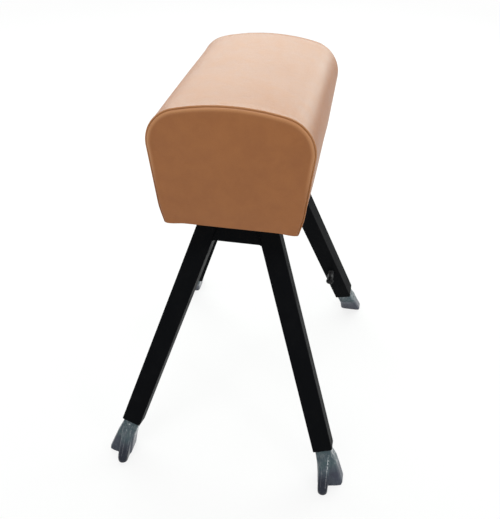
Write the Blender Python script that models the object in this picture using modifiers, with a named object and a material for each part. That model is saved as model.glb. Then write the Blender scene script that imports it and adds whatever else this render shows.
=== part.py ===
"""Vaulting buck: a leather-covered padded body on two A-frames with telescopic legs.

Units are metres. X is across the buck, Y along it, +Z up. The floor is z = 0 and the
centre of the footprint is the origin. Front is -Y, left is -X.
"""
import math

import bmesh
import bpy
from mathutils import Matrix, Vector

# Body: the outside of the leather cover
BODY_BOTTOM = 0.668
BODY_LENGTH = 0.516
BODY_WIDTH = 0.369
BODY_HEIGHT = 0.288
SIDE_LEAN = math.radians(6.87)
SHOULDER_RADIUS = 0.082
CROWN_RADIUS = 0.517
TUCK_HEIGHT = 0.046
TUCK_RADIUS = 0.130
RIM_RADIUS = 0.003
PANEL_CROWN = 0.003
PANEL_SWELL = 0.045
SEAM_DEPTH = 0.0012
SEAM_WIDTH = 0.004
LEATHER = 0.0025
HEM_WIDTH = 0.025
TUCK_STEPS = 4
SHOULDER_STEPS = 9
CROWN_STEPS = 7
RIM_STEPS = 4

# The panel's crown from its rim to its face: shares of PANEL_CROWN and of PANEL_SWELL
CROWN_RINGS = ((0.7, 0.4), (1.0, 1.0))

# Padding and wooden core
SIDE_PADDING = 0.022
END_PADDING = 0.0125
TOP_PADDING = 0.073
BOARD = 0.018
HEM_CLEARANCE = 0.0005

# Legs: two square-tube A-frames, each tilted outward
LEG_SPREAD = 0.0542
FRAME_INSET = 0.1236
LEG_SPLAY = math.radians(18.03)
FRAME_TILT = math.radians(19.2)
TUBE = 0.050
TUBE_WALL = 0.003
TUBE_CORNER = 0.003
CROSSBAR_DROP = 0.098
CROSSBAR_DEPTH = 0.050

# Steel plates that bolt the frames to the body
HEM_MARGIN = 0.0097
PLATE_WIDTH = 0.100
PLATE = 0.005
PLATE_CORNER = 0.008
CORNER_STEPS = 3
BOLT_INSET_X = 0.016
BOLT_INSET_Y = 0.015
BOLT_RADIUS = 0.004
BOLT_LENGTH = 0.024
BOLT_HEAD_FLATS = 0.013
BOLT_HEAD = 0.0053
BOLT_SIDES = 16

# Telescopic inner tubes
SLEEVE_WALL = 0.0024
SLEEVE_LENGTH = 0.040
INNER_WALL = 0.002
INNER_CORNER = 0.003
INNER_TOP = 0.040
SOCKET_DEPTH = 0.050
HEIGHT_STEPS = 8
HEIGHT_STEP = 0.050
HOLE_SIDES = 12
GLIDE = 0.004
GLIDE_PLUG = 0.014

# Feet: a block on a level sole with a boot-shaped toe
FOOT_HEIGHT = 0.0785
FOOT_GAP = 0.002
COLLAR_WALL = 0.002
COLLAR_FLARE = 0.0005
COLLAR_HEIGHT = 0.012
SOLE_LENGTH = 0.052
SOLE_WIDTH = 0.066
SOLE_SHIFT = 0.0045
SOLE_SKEW = math.radians(12)
SOLE_POINTS = 28
SOLE_SQUARENESS = 8
TOE_WIDTH = 0.025
TOE_REACH = 0.064
TOE_OFFSET = 0.0165
TOE_LEAN = math.radians(4.5)
TOE_ROOT = 0.004
TOE_STEPS = 8

# Rings of the block from under the collar down. Each gives its height as a share of the
# collar's lower edge, how far it has turned level, then its shares of the sole's half width
# towards the buck and away from it, and of the sole's length, shift and skew.
SOLE_RINGS = (
    (0.735, 0.50, 0.66, 0.84, 1.00, 0.3, 0.5),
    (0.470, 0.85, 0.74, 0.92, 1.00, 0.7, 1.0),
    (0.060, 1.00, 0.94, 1.00, 1.00, 1.0, 1.0),
    (0.000, 1.00, 0.91, 0.97, 0.96, 1.0, 1.0),
)

# Slices of the toe from the floor up: shares of the foot's height and of the toe's reach
TOE_RINGS = (
    (0.000, 0.965), (0.038, 1.000), (0.153, 1.000), (0.255, 0.925),
    (0.510, 0.600), (0.713, 0.330), (0.892, 0.140), (1.025, -0.030),
)

# Locks: a sprung pin in a barrel on the inner face of each leg
LOCK_HEIGHT = 0.145
BARREL_WALL = 0.0022
BARREL_LENGTH = 0.024
BARREL_END = 0.003
PIN_RADIUS = 0.004
PIN_COLLAR_STEP = 0.0022
PIN_COLLAR = 0.002
LOCK_CHAMFER = 0.001
KNOB_RADIUS = 0.0115
KNOB_LENGTH = 0.018
KNOB_BORE = 0.013
SPRING_WIRE = 0.0011
SPRING_TURNS = 6
SPRING_STEPS = 8
PIN_STEPS = 16
BARREL_STEPS = 20

# The knob from the centre of its end to its waist: shares of its radius and its length
KNOB_PROFILE = ((0.0, 1.0), (0.6, 1.0), (0.9, 0.9), (1.0, 0.75), (1.0, 0.55), (0.85, 0.4))
KNOB_WAIST = 0.004

# Fits
GAP = 0.0003
SLIDING_GAP = 0.0003
PIN_GAP = 0.0004
POCKET_GAP = 0.0006
HOLE_GAP = 0.0015
BOLT_GAP = 0.0005
MERGE = 0.00001
EDGE_LEAN = math.radians(25)

# Sizes that follow from the ones above
FRAME_SPREAD = BODY_LENGTH / 2 - FRAME_INSET
CORE_HEIGHT = BODY_HEIGHT - TOP_PADDING
PANEL_FACE = BODY_LENGTH / 2 - PANEL_CROWN
SEAM_Y = PANEL_FACE - RIM_RADIUS
BOARD_BOTTOM = LEATHER + HEM_CLEARANCE
PAD_END = PANEL_FACE - LEATHER - GAP
CORE_END = PAD_END - END_PADDING - GAP
LEG_DROP = math.cos(LEG_SPLAY) * math.cos(FRAME_TILT)
TUBE_LENGTH = (BODY_BOTTOM - FOOT_HEIGHT) / LEG_DROP - FOOT_GAP
INNER_TUBE = TUBE - 2 * (TUBE_WALL + GAP + SLEEVE_WALL + SLIDING_GAP)
HOLE_PITCH = HEIGHT_STEP / LEG_DROP
PLATE_TOP = BODY_BOTTOM + BOARD_BOTTOM - GAP
PLATE_BOTTOM = PLATE_TOP - PLATE
PIN_Z = -(TUBE_LENGTH - LOCK_HEIGHT)
HOLE_RADIUS = PIN_RADIUS + HOLE_GAP
PIN_COLLAR_RADIUS = PIN_RADIUS + PIN_COLLAR_STEP
POCKET_RADIUS = PIN_COLLAR_RADIUS + POCKET_GAP
BARREL_RADIUS = POCKET_RADIUS + BARREL_WALL


def clear_scene():
    for item in list(bpy.data.objects):
        bpy.data.objects.remove(item, do_unlink=True)


def collection(name):
    made = bpy.data.collections.new(name)
    bpy.context.scene.collection.children.link(made)
    return made


def material(name, colour, roughness, metallic=0.0):
    made = bpy.data.materials.new(name)
    made.use_nodes = True
    shader = made.node_tree.nodes["Principled BSDF"]
    shader.inputs["Base Color"].default_value = (*colour, 1.0)
    shader.inputs["Roughness"].default_value = roughness
    shader.inputs["Metallic"].default_value = metallic
    return made


clear_scene()
PARTS = collection("vaulting_buck")
CUTTERS = collection("cutters")

LEATHER_LOOK = ((0.30, 0.13, 0.055), 0.45, 0.0)
FOAM_LOOK = ((0.75, 0.70, 0.50), 0.95, 0.0)
WOOD_LOOK = ((0.60, 0.42, 0.24), 0.70, 0.0)
BLACK_STEEL_LOOK = ((0.010, 0.011, 0.012), 0.45, 0.0)
ZINC_LOOK = ((0.55, 0.57, 0.60), 0.35, 1.0)
STEEL_LOOK = ((0.60, 0.60, 0.60), 0.30, 1.0)
NYLON_LOOK = ((0.05, 0.05, 0.05), 0.50, 0.0)
FOOT_LOOK = ((0.09, 0.12, 0.15), 0.40, 0.0)
KNOB_LOOK = ((0.012, 0.012, 0.013), 0.35, 0.0)


def empty(name, matrix, parent=None):
    made = bpy.data.objects.new(name, None)
    PARTS.objects.link(made)
    made.parent = parent
    made.matrix_basis = matrix
    return made


def face_towards(work, outward):
    """Turn an open surface so that its furthest face along outward looks that way."""
    way = Vector(outward)
    furthest = max(work.faces, key=lambda face: face.calc_center_median().dot(way))
    furthest.normal_update()
    if furthest.normal.dot(way) < 0:
        bmesh.ops.reverse_faces(work, faces=work.faces)


def object_from(name, work, look, parent=None, outward=None):
    """Turn an edited mesh into a named part, or into a cutter when look is None."""
    mesh = bpy.data.meshes.new(name)
    bmesh.ops.recalc_face_normals(work, faces=work.faces)
    if outward:
        face_towards(work, outward)
    work.to_mesh(mesh)
    work.free()
    made = bpy.data.objects.new(name, mesh)
    made.parent = parent
    if look is None:
        CUTTERS.objects.link(made)
        made.display_type = "WIRE"
        made.hide_render = True
    else:
        PARTS.objects.link(made)
        mesh.materials.append(material(name, *look))
    return made


def block(name, size, centre, look, parent=None):
    work = bmesh.new()
    bmesh.ops.create_cube(work, size=1.0)
    bmesh.ops.scale(work, vec=Vector(size), verts=work.verts)
    bmesh.ops.translate(work, vec=Vector(centre), verts=work.verts)
    return object_from(name, work, look, parent)


def join_shape(target, tool, operation):
    step = target.modifiers.new(operation.lower() + " " + tool.name, "BOOLEAN")
    step.operation = operation
    step.solver = "EXACT"
    step.object = tool
    return target


def cut(target, tool):
    return join_shape(target, tool, "DIFFERENCE")


def round_long_edges(target, width, axis=2, segments=2, profile=0.5):
    """Round only the edges that run along one local axis."""
    work = bmesh.new()
    work.from_mesh(target.data)
    work.edges.ensure_lookup_table()
    long_edges = []
    for edge in work.edges:
        run = (edge.verts[1].co - edge.verts[0].co).normalized()
        if abs(run[axis]) > math.cos(EDGE_LEAN):
            long_edges.append(edge)
    bmesh.ops.bevel(work, geom=long_edges, offset=width, segments=segments,
                    profile=profile, affect="EDGES")
    work.to_mesh(target.data)
    work.free()
    return target


def cylinder(name, radius, low, high, place, look, parent=None, sides=BOLT_SIDES):
    """A round bar along the Z axis of the matrix place, from low to high."""
    work = bmesh.new()
    bmesh.ops.create_cone(work, cap_ends=True, segments=sides, radius1=radius,
                          radius2=radius, depth=high - low)
    bmesh.ops.translate(work, vec=(0, 0, (low + high) / 2), verts=work.verts)
    bmesh.ops.transform(work, matrix=place, verts=work.verts)
    return object_from(name, work, look, parent)


def turned(name, profile, look, parent=None, closed=False, steps=BARREL_STEPS):
    """Turn a profile of radius and height pairs about the local Z axis."""
    mesh = bpy.data.meshes.new(name)
    points = [(radius, 0.0, height) for radius, height in profile]
    edges = [(i, i + 1) for i in range(len(points) - 1)]
    if closed:
        edges.append((len(points) - 1, 0))
    mesh.from_pydata(points, edges, [])
    made = bpy.data.objects.new(name, mesh)
    PARTS.objects.link(made)
    made.parent = parent
    mesh.materials.append(material(name, *look))
    screw = made.modifiers.new("turn", "SCREW")
    screw.axis = "Z"
    screw.steps = steps
    screw.render_steps = steps
    screw.use_merge_vertices = True
    screw.merge_threshold = MERGE
    screw.use_smooth_shade = True
    return made


def skin_rings(work, rings, cap_first=True, cap_last=True):
    """Join rings with equal numbers of points by quads, and cap the ends."""
    loops = [[work.verts.new(point) for point in ring] for ring in rings]
    count = len(loops[0])
    for near, far in zip(loops, loops[1:]):
        for i in range(count):
            j = (i + 1) % count
            work.faces.new((near[i], near[j], far[j], far[i]))
    if cap_first:
        work.faces.new(list(reversed(loops[0])))
    if cap_last:
        work.faces.new(loops[-1])
    return loops


# The outline of the body, seen from its end

def shoulder_centre():
    x = BODY_WIDTH / 2 - SHOULDER_RADIUS
    crown = BODY_HEIGHT - CROWN_RADIUS
    reach = CROWN_RADIUS - SHOULDER_RADIUS
    return Vector((x, crown + math.sqrt(reach ** 2 - x ** 2)))


def side_x(height):
    """Half width of the straight leaning side, carried to any height."""
    centre = shoulder_centre()
    outward = Vector((math.cos(SIDE_LEAN), -math.sin(SIDE_LEAN)))
    touch = centre + outward * SHOULDER_RADIUS
    return touch.x - (touch.y - height) * math.tan(SIDE_LEAN)


def arc(centre, radius, start, end, steps):
    turn = [start + (end - start) * i / steps for i in range(steps + 1)]
    return [Vector((centre.x + radius * math.cos(a), centre.y + radius * math.sin(a)))
            for a in turn]


def half_outline(inset):
    """Right half of the end outline, from the bottom edge up to the crown."""
    shoulder = shoulder_centre()
    crown = Vector((0.0, BODY_HEIGHT - CROWN_RADIUS))
    meet = math.atan2(shoulder.y - crown.y, shoulder.x - crown.x)
    outward = Vector((math.cos(SIDE_LEAN), -math.sin(SIDE_LEAN)))
    tuck_start = Vector((side_x(TUCK_HEIGHT), TUCK_HEIGHT))
    tuck = tuck_start - outward * TUCK_RADIUS
    lowest = math.asin(max(-1.0, (inset - tuck.y) / (TUCK_RADIUS - inset)))
    points = arc(tuck, TUCK_RADIUS - inset, lowest, -SIDE_LEAN, TUCK_STEPS)
    points += arc(shoulder, SHOULDER_RADIUS - inset, -SIDE_LEAN, meet, SHOULDER_STEPS)
    points += arc(crown, CROWN_RADIUS - inset, meet, math.pi / 2, CROWN_STEPS)[1:]
    return points


def outline(inset):
    """The whole outline as points from the right bottom corner over the crown to the left."""
    right = half_outline(inset)
    left = [Vector((-p.x, p.y)) for p in reversed(right[:-1])]
    return right + left


def core_x(height):
    """Half width of the wooden core at a height above the body's bottom edge."""
    return side_x(height) - (LEATHER + GAP + SIDE_PADDING + GAP) / math.cos(SIDE_LEAN)


def prism(name, points, low_y, high_y, look):
    """Carry a flat outline of X and Z points along Y."""
    work = bmesh.new()
    rings = [[(p.x, y, BODY_BOTTOM + p.y) for p in points] for y in (low_y, high_y)]
    skin_rings(work, rings)
    return object_from(name, work, look)


def make_core():
    floor = BOARD_BOTTOM + BOARD + GAP
    ceiling = CORE_HEIGHT - BOARD - GAP
    base_half = core_x(BOARD_BOTTOM)
    base = block("base_board", (2 * base_half, 2 * CORE_END, BOARD),
                 (0, 0, BODY_BOTTOM + BOARD_BOTTOM + BOARD / 2), WOOD_LOOK)
    block("core_top", (2 * core_x(ceiling), 2 * CORE_END, BOARD),
          (0, 0, BODY_BOTTOM + CORE_HEIGHT - BOARD / 2), WOOD_LOOK)
    slant = BOARD / math.cos(SIDE_LEAN)
    side_end = CORE_END - BOARD - GAP
    for name, sign in (("core_side_left", -1), ("core_side_right", 1)):
        points = [Vector((sign * core_x(floor), floor)),
                  Vector((sign * core_x(ceiling), ceiling)),
                  Vector((sign * (core_x(ceiling) - slant), ceiling)),
                  Vector((sign * (core_x(floor) - slant), floor))]
        prism(name, points, -side_end, side_end, WOOD_LOOK)
    face = [Vector((core_x(floor), floor)), Vector((core_x(ceiling), ceiling)),
            Vector((-core_x(ceiling), ceiling)), Vector((-core_x(floor), floor))]
    prism("core_end_front", face, -CORE_END, -CORE_END + BOARD, WOOD_LOOK)
    prism("core_end_rear", face, CORE_END - BOARD, CORE_END, WOOD_LOOK)
    return base


def make_padding():
    inset = LEATHER + GAP
    outer = outline(inset)
    lowest = max(p.y for p in (outer[0], outer[-1]))
    foot = max(lowest, BOARD_BOTTOM)
    inner = [Vector((core_x(foot) + GAP, foot)),
             Vector((core_x(CORE_HEIGHT) + GAP, CORE_HEIGHT + GAP))]
    inner += [Vector((-p.x, p.y)) for p in reversed(inner)]
    path = outer + list(reversed(inner))
    prism("foam_padding", path, -CORE_END, CORE_END, FOAM_LOOK)
    pad = outline(RIM_RADIUS + LEATHER)
    prism("end_pad_front", pad, -PAD_END, -CORE_END - GAP, FOAM_LOOK)
    prism("end_pad_rear", pad, CORE_END + GAP, PAD_END, FOAM_LOOK)


def make_wrap():
    """The leather over the top and sides, with its hems turned under the body."""
    end = SEAM_Y - GAP / 2
    stations = [(-end, SEAM_DEPTH), (-end + SEAM_WIDTH, 0.0),
                (end - SEAM_WIDTH, 0.0), (end, SEAM_DEPTH)]
    work = bmesh.new()
    rows = []
    for y, inset in stations:
        points = outline(inset)
        hem = points[0].x - HEM_WIDTH
        points = [Vector((hem, points[0].y))] + points + [Vector((-hem, points[0].y))]
        rows.append([work.verts.new((p.x, y, BODY_BOTTOM + p.y)) for p in points])
    for near, far in zip(rows, rows[1:]):
        for i in range(len(near) - 1):
            work.faces.new((near[i], far[i], far[i + 1], near[i + 1]))
    wrap = object_from("leather_wrap", work, LEATHER_LOOK, outward=(0, 0, 1))
    wall = wrap.modifiers.new("leather thickness", "SOLIDIFY")
    wall.thickness = LEATHER
    wall.offset = -1.0
    wall.use_even_offset = True
    return wrap


def make_end_panel(name, side):
    """A padded end panel: a rim rolled back to the seam round a crowned face."""
    start = SEAM_Y + GAP / 2
    stations = [(start, SEAM_DEPTH)]
    for i in range(1, RIM_STEPS + 1):
        turn = math.pi / 2 * i / RIM_STEPS
        groove = SEAM_DEPTH * (1 - i / RIM_STEPS)
        stations.append((SEAM_Y + RIM_RADIUS * math.sin(turn),
                         RIM_RADIUS * (1 - math.cos(turn)) + groove))
    for crown, swell in CROWN_RINGS:
        stations.append((PANEL_FACE + PANEL_CROWN * crown, RIM_RADIUS + PANEL_SWELL * swell))
    work = bmesh.new()
    rings = []
    for y, inset in stations:
        rings.append([(p.x, side * y, BODY_BOTTOM + p.y) for p in outline(inset)])
    skin_rings(work, rings, cap_first=False)
    panel = object_from(name, work, LEATHER_LOOK, outward=(0, side, 0))
    wall = panel.modifiers.new("leather thickness", "SOLIDIFY")
    wall.thickness = LEATHER
    wall.offset = -1.0
    wall.use_even_offset = False
    return panel


# Leg frames

def leg_matrix(side, end):
    """Z runs up the leg, Y points out of the outer face, the origin is under the body."""
    outward = Vector((0, end * math.cos(FRAME_TILT), math.sin(FRAME_TILT)))
    upward = Vector((-side * math.sin(LEG_SPLAY),
                     -end * math.cos(LEG_SPLAY) * math.sin(FRAME_TILT),
                     math.cos(LEG_SPLAY) * math.cos(FRAME_TILT)))
    across = outward.cross(upward)
    turn = Matrix((across, outward, upward)).transposed().to_4x4()
    return Matrix.Translation((side * LEG_SPREAD, end * FRAME_SPREAD, BODY_BOTTOM)) @ turn


def frame_matrix(end):
    """The plane of one A-frame: Y out of its outer face, Z up the plane."""
    outward = Vector((0, end * math.cos(FRAME_TILT), math.sin(FRAME_TILT)))
    upward = Vector((0, -end * math.sin(FRAME_TILT), math.cos(FRAME_TILT)))
    turn = Matrix((outward.cross(upward), outward, upward)).transposed().to_4x4()
    return Matrix.Translation((0, end * FRAME_SPREAD, BODY_BOTTOM)) @ turn


def make_plate(label, end, base_board):
    """The bolted plate that carries one A-frame, and its four bolts."""
    y = end * FRAME_SPREAD
    hem = half_outline(0.0)[0].x - HEM_WIDTH
    length = 2 * (hem - HEM_MARGIN)
    plate = block("mounting_plate_" + label, (length, PLATE_WIDTH, PLATE),
                  (0, y, (PLATE_TOP + PLATE_BOTTOM) / 2), BLACK_STEEL_LOOK)
    round_long_edges(plate, PLATE_CORNER, segments=CORNER_STEPS)
    corners = [(i, j) for j in (-1, 1) for i in (-1, 1)]
    names = ("a", "b", "c", "d")
    for letter, (i, j) in zip(names, corners):
        spot = Matrix.Translation((i * (length / 2 - BOLT_INSET_X),
                                   y + j * (PLATE_WIDTH / 2 - BOLT_INSET_Y), 0))
        hole = cylinder("bolt_hole_" + label + "_" + letter, BOLT_RADIUS + BOLT_GAP,
                        PLATE_BOTTOM - PLATE, BODY_BOTTOM + BOARD_BOTTOM + 2 * BOARD,
                        spot, None)
        cut(plate, hole)
        cut(base_board, hole)
        make_bolt("bolt_" + label + "_" + letter, spot)


def make_bolt(name, spot):
    """A hexagon bolt put in from below: six-sided head with a round shank."""
    under_head = PLATE_BOTTOM - GAP
    work = bmesh.new()
    bmesh.ops.create_cone(work, cap_ends=True, segments=6, depth=BOLT_HEAD,
                          radius1=BOLT_HEAD_FLATS / math.sqrt(3),
                          radius2=BOLT_HEAD_FLATS / math.sqrt(3))
    bmesh.ops.translate(work, vec=(0, 0, under_head - BOLT_HEAD / 2), verts=work.verts)
    bmesh.ops.transform(work, matrix=spot, verts=work.verts)
    head = object_from(name, work, STEEL_LOOK)
    shank = cylinder("shank_" + name, BOLT_RADIUS, under_head - BOLT_HEAD / 2,
                     under_head + BOLT_LENGTH, spot, None)
    join_shape(head, shank, "UNION")
    return head


def make_crossbar(label, end):
    """A box tube between the two legs, its ends cut to their slope."""
    parent = empty("frame_plane_" + label, frame_matrix(end))
    reach = TUBE / 2 / math.cos(LEG_SPLAY)

    def inner_x(drop):
        return LEG_SPREAD + drop * math.tan(LEG_SPLAY) - reach - GAP

    top = CROSSBAR_DROP - CROSSBAR_DEPTH
    work = bmesh.new()
    rings = []
    for y in (-TUBE / 2, TUBE / 2):
        rings.append([(inner_x(CROSSBAR_DROP), y, -CROSSBAR_DROP), (inner_x(top), y, -top),
                      (-inner_x(top), y, -top), (-inner_x(CROSSBAR_DROP), y, -CROSSBAR_DROP)])
    skin_rings(work, rings)
    bar = object_from("crossbar_" + label, work, BLACK_STEEL_LOOK, parent)
    hollow = block("crossbar_hollow_" + label,
                   (4 * LEG_SPREAD, TUBE - 2 * TUBE_WALL, CROSSBAR_DEPTH - 2 * TUBE_WALL),
                   (0, 0, -CROSSBAR_DROP + CROSSBAR_DEPTH / 2), None, parent)
    cut(bar, hollow)
    return bar


def make_outer_tube(label, leg):
    extra = TUBE
    tube = block("leg_tube_" + label, (TUBE, TUBE, TUBE_LENGTH + extra),
                 (0, 0, (extra - TUBE_LENGTH) / 2), BLACK_STEEL_LOOK, leg)
    round_long_edges(tube, TUBE_CORNER)
    bore = block("leg_bore_" + label,
                 (TUBE - 2 * TUBE_WALL, TUBE - 2 * TUBE_WALL, TUBE_LENGTH + 4 * extra),
                 (0, 0, -TUBE_LENGTH / 2), None, leg)
    cut(tube, bore)
    height = 3 * extra
    low = PLATE_BOTTOM - GAP
    top = block("leg_top_cut_" + label, (BODY_LENGTH, BODY_LENGTH, height), (0, 0, 0), None)
    top.location = (*leg.matrix_basis.translation.xy, low + height / 2)
    cut(tube, top)
    face = Matrix.Translation((0, -TUBE / 2, PIN_Z)) @ Matrix.Rotation(math.pi / 2, 4, "X")
    hole = cylinder("pin_hole_" + label, PIN_RADIUS + PIN_GAP, -2 * TUBE_WALL, TUBE_WALL,
                    face, None, leg)
    cut(tube, hole)
    return tube


def make_guide_sleeve(label, leg):
    """The plastic liner in the mouth of the outer tube."""
    outside = TUBE - 2 * TUBE_WALL - 2 * GAP
    inside = INNER_TUBE + 2 * SLIDING_GAP
    middle = -TUBE_LENGTH + SLEEVE_LENGTH / 2
    sleeve = block("guide_sleeve_" + label, (outside, outside, SLEEVE_LENGTH),
                   (0, 0, middle), NYLON_LOOK, leg)
    bore = block("sleeve_bore_" + label, (inside, inside, 2 * SLEEVE_LENGTH),
                 (0, 0, middle), None, leg)
    cut(sleeve, bore)


def make_inner_tube(label, leg):
    """The sliding tube with its row of height holes in the inner face."""
    low = -TUBE_LENGTH - SOCKET_DEPTH
    high = -INNER_TOP
    tube = block("inner_tube_" + label, (INNER_TUBE, INNER_TUBE, high - low),
                 (0, 0, (high + low) / 2), ZINC_LOOK, leg)
    round_long_edges(tube, INNER_CORNER)
    clear = INNER_TUBE - 2 * INNER_WALL
    bore = block("inner_bore_" + label, (clear, clear, 2 * (high - low)),
                 (0, 0, (high + low) / 2), None, leg)
    cut(tube, bore)
    work = bmesh.new()
    for step in range(HEIGHT_STEPS + 1):
        made = bmesh.ops.create_cone(work, cap_ends=True, segments=HOLE_SIDES,
                                     radius1=HOLE_RADIUS, radius2=HOLE_RADIUS,
                                     depth=4 * INNER_WALL)
        height = PIN_Z + step * HOLE_PITCH
        spot = Matrix.Translation((0, (INNER_WALL - INNER_TUBE) / 2, height))
        bmesh.ops.transform(work, matrix=spot @ Matrix.Rotation(math.pi / 2, 4, "X"),
                            verts=made["verts"])
    holes = object_from("height_holes_" + label, work, None, leg)
    cut(tube, holes)
    return tube


def make_glide(label, leg):
    """The plastic plug on top of the inner tube, which guides it in the outer tube."""
    outside = TUBE - 2 * TUBE_WALL - 2 * SLIDING_GAP
    inside = INNER_TUBE - 2 * INNER_WALL - 2 * GAP
    low = -INNER_TOP + GAP
    cap = block("tube_glide_" + label, (outside, outside, GLIDE),
                (0, 0, low + GLIDE / 2), NYLON_LOOK, leg)
    plug = block("glide_plug_" + label, (inside, inside, GLIDE_PLUG + GLIDE / 2),
                 (0, 0, low + GLIDE / 2 - (GLIDE_PLUG + GLIDE / 2) / 2), None, leg)
    join_shape(cap, plug, "UNION")
    return cap


# Feet, in a frame with its origin where the leg's axis meets the floor,
# X outward across the buck, Y outward along it and Z up

def rounded_square():
    """Points round a square of half size one with rounded corners."""
    power = SOLE_SQUARENESS
    points = []
    for i in range(SOLE_POINTS):
        turn = 2 * math.pi * (i + 0.5) / SOLE_POINTS
        c, s = math.cos(turn), math.sin(turn)
        size = (abs(c) ** power + abs(s) ** power) ** (-1 / power)
        points.append((c * size, s * size))
    return points


def axis_point(height):
    """The leg's axis at a height above the floor."""
    along = height / LEG_DROP
    return Vector((-math.sin(LEG_SPLAY) * along,
                   -math.cos(LEG_SPLAY) * math.sin(FRAME_TILT) * along, height))


def sole_block_rings():
    across = Vector((math.cos(LEG_SPLAY), -math.sin(LEG_SPLAY) * math.sin(FRAME_TILT),
                     math.sin(LEG_SPLAY) * math.cos(FRAME_TILT)))
    outward = Vector((0, math.cos(FRAME_TILT), math.sin(FRAME_TILT)))
    collar = INNER_TUBE / 2 + GAP + COLLAR_WALL
    flared = collar + COLLAR_FLARE
    shoulder = FOOT_HEIGHT - COLLAR_HEIGHT * LEG_DROP
    stations = [(FOOT_HEIGHT, 0, collar, collar, collar, 0, 0),
                (shoulder, 0, flared, flared, flared, 0, 0)]
    for height, level, near, far, length, shift, skew in SOLE_RINGS:
        stations.append((height * shoulder, level, near * SOLE_WIDTH / 2,
                         far * SOLE_WIDTH / 2, length * SOLE_LENGTH / 2,
                         shift * SOLE_SHIFT, skew * math.tan(SOLE_SKEW)))
    rings = []
    for height, level, near, far, half_y, shift, skew in stations:
        centre = axis_point(height) + Vector((0, shift, 0))
        u = across.lerp(Vector((1, 0, 0)), level)
        v = outward.lerp(Vector((0, 1, 0)), level)
        ring = []
        for p, q in rounded_square():
            x = p * (far if p > 0 else near)
            stretch = -skew * x if q > 0 else 0.0
            ring.append(centre + u * x + v * (q * half_y + stretch))
        rings.append(ring)
    return rings


def toe_rings():
    """Level slices of the boot: an upright bar with a round front that steps out to the toe.

    Its side away from the buck is plumb and the other one leans, so it widens upward.
    """
    rings = []
    for share, reach in TOE_RINGS:
        height = share * FOOT_HEIGHT
        front = reach * TOE_REACH
        widening = height * math.tan(TOE_LEAN) / 2
        radius = TOE_WIDTH / 2 + widening
        x = -TOE_OFFSET - widening
        back = axis_point(height).y - TOE_ROOT
        ring = []
        for i in range(TOE_STEPS + 1):
            turn = math.pi * i / TOE_STEPS
            ring.append(Vector((x + radius * math.cos(turn),
                                front - radius + radius * math.sin(turn), height)))
        ring.append(Vector((x - radius, back, height)))
        ring.append(Vector((x + radius, back, height)))
        rings.append(ring)
    return rings


def make_foot(label, side, end, leg):
    """A moulded foot: a flared block with a boot-shaped toe, socketed on the inner tube."""
    on_floor = axis_point(BODY_BOTTOM)
    to_world = Matrix.Translation((side * (LEG_SPREAD - on_floor.x),
                                   end * (FRAME_SPREAD - on_floor.y), 0))
    to_world = to_world @ Matrix.Diagonal((side, end, 1, 1))
    to_leg = leg_matrix(side, end).inverted() @ to_world
    made = []
    for name, rings, look in (("foot_" + label, sole_block_rings(), FOOT_LOOK),
                              ("foot_toe_" + label, toe_rings(), None)):
        work = bmesh.new()
        skin_rings(work, [[to_leg @ point for point in ring] for ring in rings])
        made.append(object_from(name, work, look, leg))
    foot, toe = made
    join_shape(foot, toe, "UNION")
    wide = INNER_TUBE + 2 * GAP
    deep = SOCKET_DEPTH + GAP
    socket = block("foot_socket_" + label, (wide, wide, 2 * deep),
                   (0, 0, -TUBE_LENGTH), None, leg)
    round_long_edges(socket, INNER_CORNER)
    cut(foot, socket)
    return foot


def make_lock(label, leg):
    """The sprung height pin; z = 0 is the inner face of the leg tube."""
    place = Matrix.Translation((0, -TUBE / 2, PIN_Z)) @ Matrix.Rotation(math.pi / 2, 4, "X")
    axis = empty("lock_axis_" + label, place, leg)
    chamfer = LOCK_CHAMFER
    pocket_top = BARREL_LENGTH - BARREL_END
    bore = PIN_RADIUS + PIN_GAP
    turned("lock_barrel_" + label,
           [(BARREL_RADIUS - chamfer, BARREL_LENGTH), (BARREL_RADIUS, BARREL_LENGTH - chamfer),
            (BARREL_RADIUS, GAP), (POCKET_RADIUS, GAP), (POCKET_RADIUS, pocket_top),
            (bore, pocket_top), (bore, BARREL_LENGTH)],
           BLACK_STEEL_LOOK, axis, closed=True)
    tip = -(TUBE / 2 - INNER_TUBE / 2 - PIN_GAP)
    seat = 2 * GAP
    knob_low = BARREL_LENGTH + PIN_GAP
    pin_top = knob_low + KNOB_BORE - GAP
    turned("lock_pin_" + label,
           [(0, pin_top), (PIN_RADIUS, pin_top), (PIN_RADIUS, seat + PIN_COLLAR),
            (PIN_COLLAR_RADIUS, seat + PIN_COLLAR), (PIN_COLLAR_RADIUS, seat),
            (PIN_RADIUS, seat), (PIN_RADIUS, tip + chamfer), (PIN_RADIUS - chamfer, tip),
            (0, tip)],
           STEEL_LOOK, axis, steps=PIN_STEPS)
    hollow = PIN_RADIUS + GAP
    knob = [(KNOB_RADIUS * radius, knob_low + KNOB_LENGTH * height)
            for radius, height in KNOB_PROFILE]
    knob += [(BARREL_RADIUS, knob_low + KNOB_WAIST), (BARREL_RADIUS, knob_low),
             (hollow, knob_low), (hollow, knob_low + KNOB_BORE), (0, knob_low + KNOB_BORE)]
    turned("lock_knob_" + label, knob, KNOB_LOOK, axis)
    make_spring(label, axis, seat + PIN_COLLAR, pocket_top)
    return axis


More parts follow.
